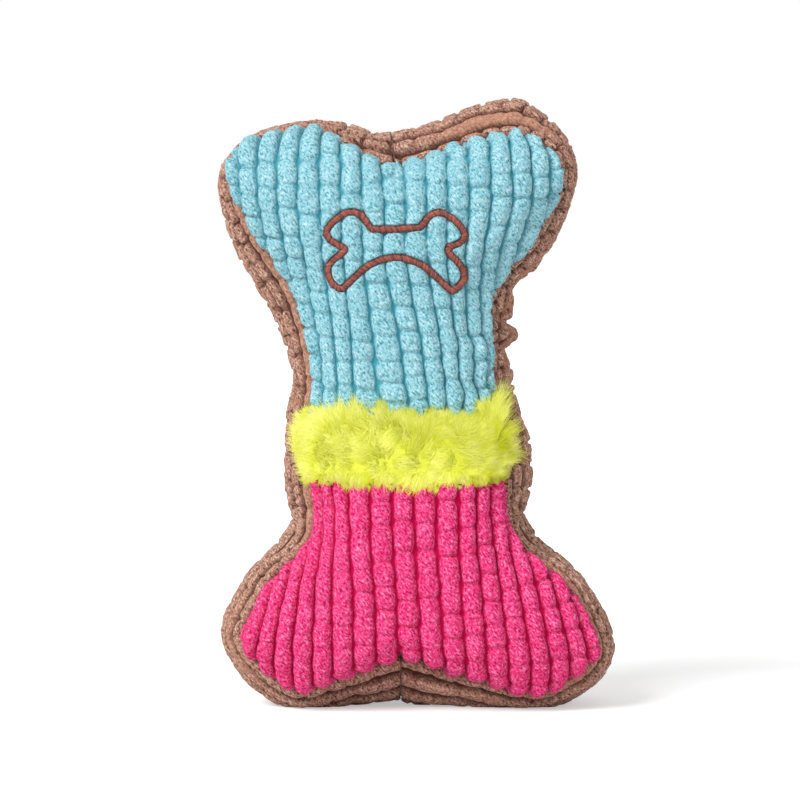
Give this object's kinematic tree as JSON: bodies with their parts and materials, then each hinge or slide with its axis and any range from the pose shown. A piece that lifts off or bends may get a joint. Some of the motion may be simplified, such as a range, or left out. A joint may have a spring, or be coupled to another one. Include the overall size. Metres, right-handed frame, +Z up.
{
  "type": "squeaky dog toy",
  "caption": "Stuffed bone-shaped dog toy: corduroy face panels, a fur band round the waist, a side gusset, stitched seams, fibre filling and a squeaker that sounds when pressed.",
  "frame": {"origin": "on the surface that the toy stands on, under the middle of its box", "axes": "+Z up from the feet to the ears, +X to the right as seen from the face, +Y away from the face"},
  "size_m": [0.1313, 0.0691, 0.2017],
  "materials": {
    "cyan_corduroy": "matte",
    "pink_corduroy": "matte",
    "lime_fur": "matte",
    "brown_corduroy": "matte",
    "rust_thread": "satin",
    "brown_thread": "matte",
    "fibre_filling": "matte",
    "bulb_plastic": "satin",
    "whistle_plastic": "satin"
  },
  "bodies": {
    "body": {"left_gusset": "brown_corduroy", "right_gusset": "brown_corduroy", "back_panel": "brown_corduroy", "back_seam_stitch": "brown_thread", "closing_stitch": "brown_thread", "notch_join_stitch": "brown_thread", "arch_join_stitch": "brown_thread", "upper_filling": "fibre_filling", "middle_filling": "fibre_filling", "lower_filling": "fibre_filling", "squeaker_bulb": "bulb_plastic", "squeaker_whistle": "whistle_plastic", "squeaker_reed_clip": "whistle_plastic"},
    "front_cover": {"upper_front_panel": "cyan_corduroy", "fur_band": "lime_fur", "lower_front_panel": "pink_corduroy", "bone_embroidery": "rust_thread", "front_seam_stitch": "brown_thread", "upper_band_stitch": "brown_thread", "lower_band_stitch": "brown_thread"},
    "reed": {"squeaker_reed": "bulb_plastic"}
  },
  "joints": [
    {"name": "squeeze", "type": "slide", "parent": "body", "child": "front_cover", "axis": [0, 1, 0], "range_m": [0, 0.014], "stiffness_N_per_m": 800, "deforming": ["left_gusset", "right_gusset", "notch_join_stitch", "arch_join_stitch", "upper_filling", "middle_filling", "lower_filling", "squeaker_bulb"]},
    {"name": "reed_flex", "type": "hinge", "parent": "body", "child": "reed", "pos_m": [-0.0075, 0.0056, 0.13765], "axis": [1, 0, 0], "range_deg": [-4, 4], "stiffness_Nm_per_rad": 0.0001}
  ]
}
